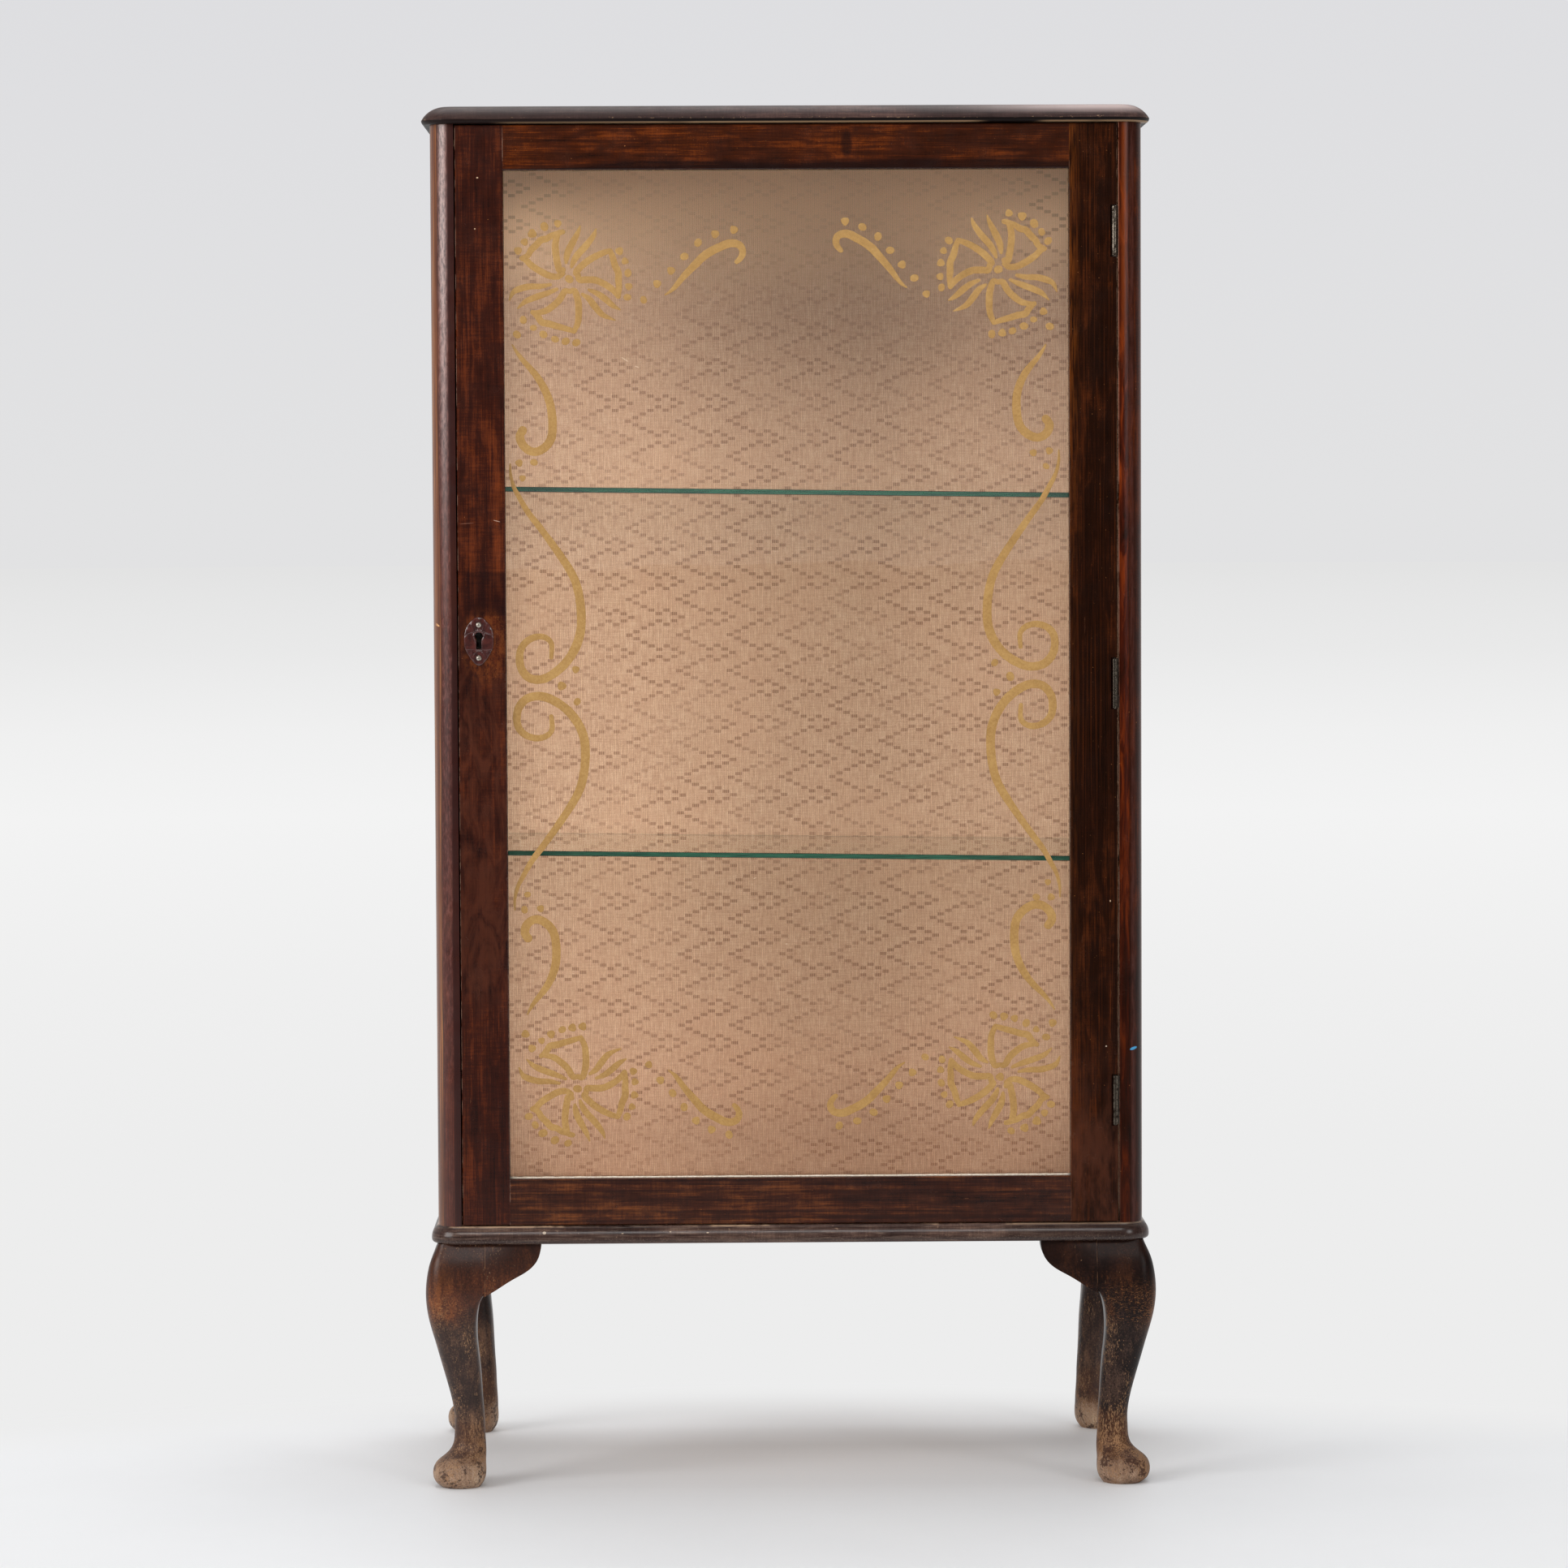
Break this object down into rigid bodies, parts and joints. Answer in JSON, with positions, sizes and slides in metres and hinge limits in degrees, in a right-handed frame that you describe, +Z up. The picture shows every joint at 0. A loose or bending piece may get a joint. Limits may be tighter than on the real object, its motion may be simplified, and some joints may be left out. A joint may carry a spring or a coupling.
{
  "type": "display cabinet",
  "caption": "Glazed display cabinet on curved legs: one hinged glass door with a lock, glazed sides, glass shelves on studs, and a patterned fabric lining.",
  "frame": {"origin": "on the floor under the middle of the cabinet", "axes": "+Z up, front faces -Y, +X to the right seen from the front"},
  "size_m": [0.647, 0.342, 1.22],
  "materials": {
    "case_wood": "dark red-brown stain under an old satin varnish",
    "leg_wood": "dark stain, worn to bare speckled wood on knees and feet",
    "plywood": "bare plywood",
    "lining": "ribbed furnishing fabric with small brown dashes",
    "shelf_glass": "clear float glass with green edges",
    "pane_glass": "clear window glass",
    "brass": "dull brass",
    "hinge_metal": "aged, partly tarnished",
    "nickel_pins": "dull nickel",
    "screw_steel": "plain steel",
    "lock_steel": "plain steel",
    "keyhole_plastic": "moulded dark brown plastic, satin",
    "gold_paint": "gold paint on glass",
    "putty": "pale glazing putty"
  },
  "bodies": {
    "case": {"back_lining": "lining", "back_nails": "screw_steel", "back_panel": "plywood", "base_board": "case_wood", "base_front_moulding": "case_wood", "base_left_moulding": "case_wood", "base_right_moulding": "case_wood", "case_top_panel": "case_wood", "door_stop": "case_wood", "floor_lining": "lining", "hinge_bottom_post_leaf": "hinge_metal", "hinge_middle_post_leaf": "hinge_metal", "hinge_pins": "hinge_metal", "hinge_post_screws": "screw_steel", "hinge_top_post_leaf": "hinge_metal", "knee_wings_back_left": "leg_wood", "knee_wings_back_right": "leg_wood", "knee_wings_front_left": "leg_wood", "knee_wings_front_right": "leg_wood", "left_back_post": "case_wood", "left_front_post": "case_wood", "left_side_beads": "case_wood", "left_side_bottom_rail": "case_wood", "left_side_glass": "pane_glass", "left_side_top_rail": "case_wood", "leg_back_left": "leg_wood", "leg_back_right": "leg_wood", "leg_front_left": "leg_wood", "leg_front_right": "leg_wood", "leg_screws": "screw_steel", "lower_shelf": "shelf_glass", "lower_shelf_pins": "brass", "right_back_post": "case_wood", "right_front_post": "case_wood", "right_side_beads": "case_wood", "right_side_bottom_rail": "case_wood", "right_side_glass": "pane_glass", "right_side_top_rail": "case_wood", "strike_plate": "brass", "strike_screws": "screw_steel", "top_board": "case_wood", "top_screws": "screw_steel", "upper_shelf": "shelf_glass", "upper_shelf_pins": "brass"},
    "door": {"door_beads": "case_wood", "door_bottom_rail": "case_wood", "door_glass": "pane_glass", "door_left_stile": "case_wood", "door_right_stile": "case_wood", "door_top_rail": "case_wood", "hinge_bottom_door_leaf": "hinge_metal", "hinge_middle_door_leaf": "hinge_metal", "hinge_top_door_leaf": "hinge_metal", "hinge_door_screws": "screw_steel", "keyhole_plate": "keyhole_plastic", "keyhole_plate_pins": "nickel_pins", "lock_case": "lock_steel", "lock_cover": "lock_steel", "lock_screws": "screw_steel"},
    "bolt": {"lock_bolt": "brass"}
  },
  "joints": [
    {"name": "door_hinge", "type": "hinge", "parent": "case", "child": "door", "pos_m": [0.2875, -0.1612, 0.719], "axis": [0, 0, 1], "range_deg": [0, 170]},
    {"name": "bolt_slide", "type": "slide", "parent": "door", "child": "bolt", "axis": [-1, 0, 0], "range_m": [0, 0.006]}
  ]
}
